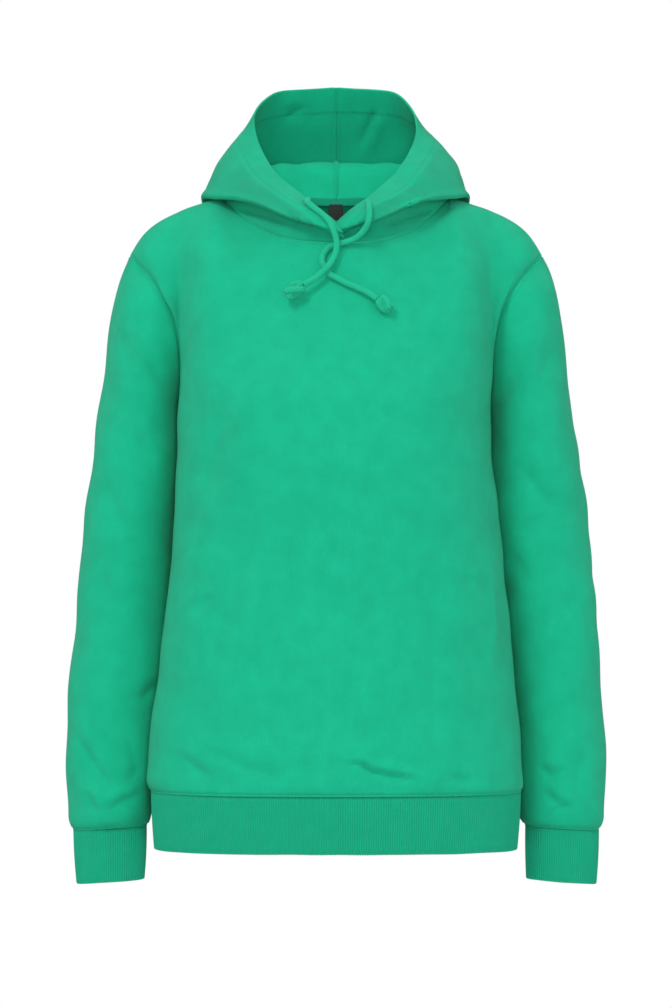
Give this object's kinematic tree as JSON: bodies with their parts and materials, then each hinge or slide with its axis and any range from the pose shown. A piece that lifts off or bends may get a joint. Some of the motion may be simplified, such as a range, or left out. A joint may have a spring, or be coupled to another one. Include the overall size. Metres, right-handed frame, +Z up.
{
  "type": "pullover hoodie",
  "caption": "Pullover hoodie in green sweatshirt fleece, filled out as if worn, with its hood down, rib cuffs and hem, and a knotted drawcord.",
  "frame": {"origin": "middle of the neck opening, level with the highest points of the shoulders, where the garment hangs on its wearer", "axes": "+X to the wearer's left, +Y to the back, +Z up"},
  "size_m": [0.5424, 0.3076, 0.805],
  "materials": {
    "fleece": "matt sweatshirt face, fine loops inside",
    "rib_knit": "1x1 rib knit, matt",
    "braid": "round cotton braid",
    "neck_tape": "herringbone tape, matt",
    "label": "blank woven label, dark"
  },
  "bodies": {
    "root": {"front_body": "fleece", "back_body": "fleece", "sleeve_left": "fleece", "sleeve_right": "fleece", "hood_left": "fleece", "hood_right": "fleece", "hem_rib": "rib_knit", "cuff_left": "rib_knit", "cuff_right": "rib_knit", "neck_tape": "neck_tape", "neck_label": "label", "drawcord_left": "braid", "drawcord_right": "braid", "knot_left": "braid", "knot_right": "braid"}
  },
  "joints": []
}
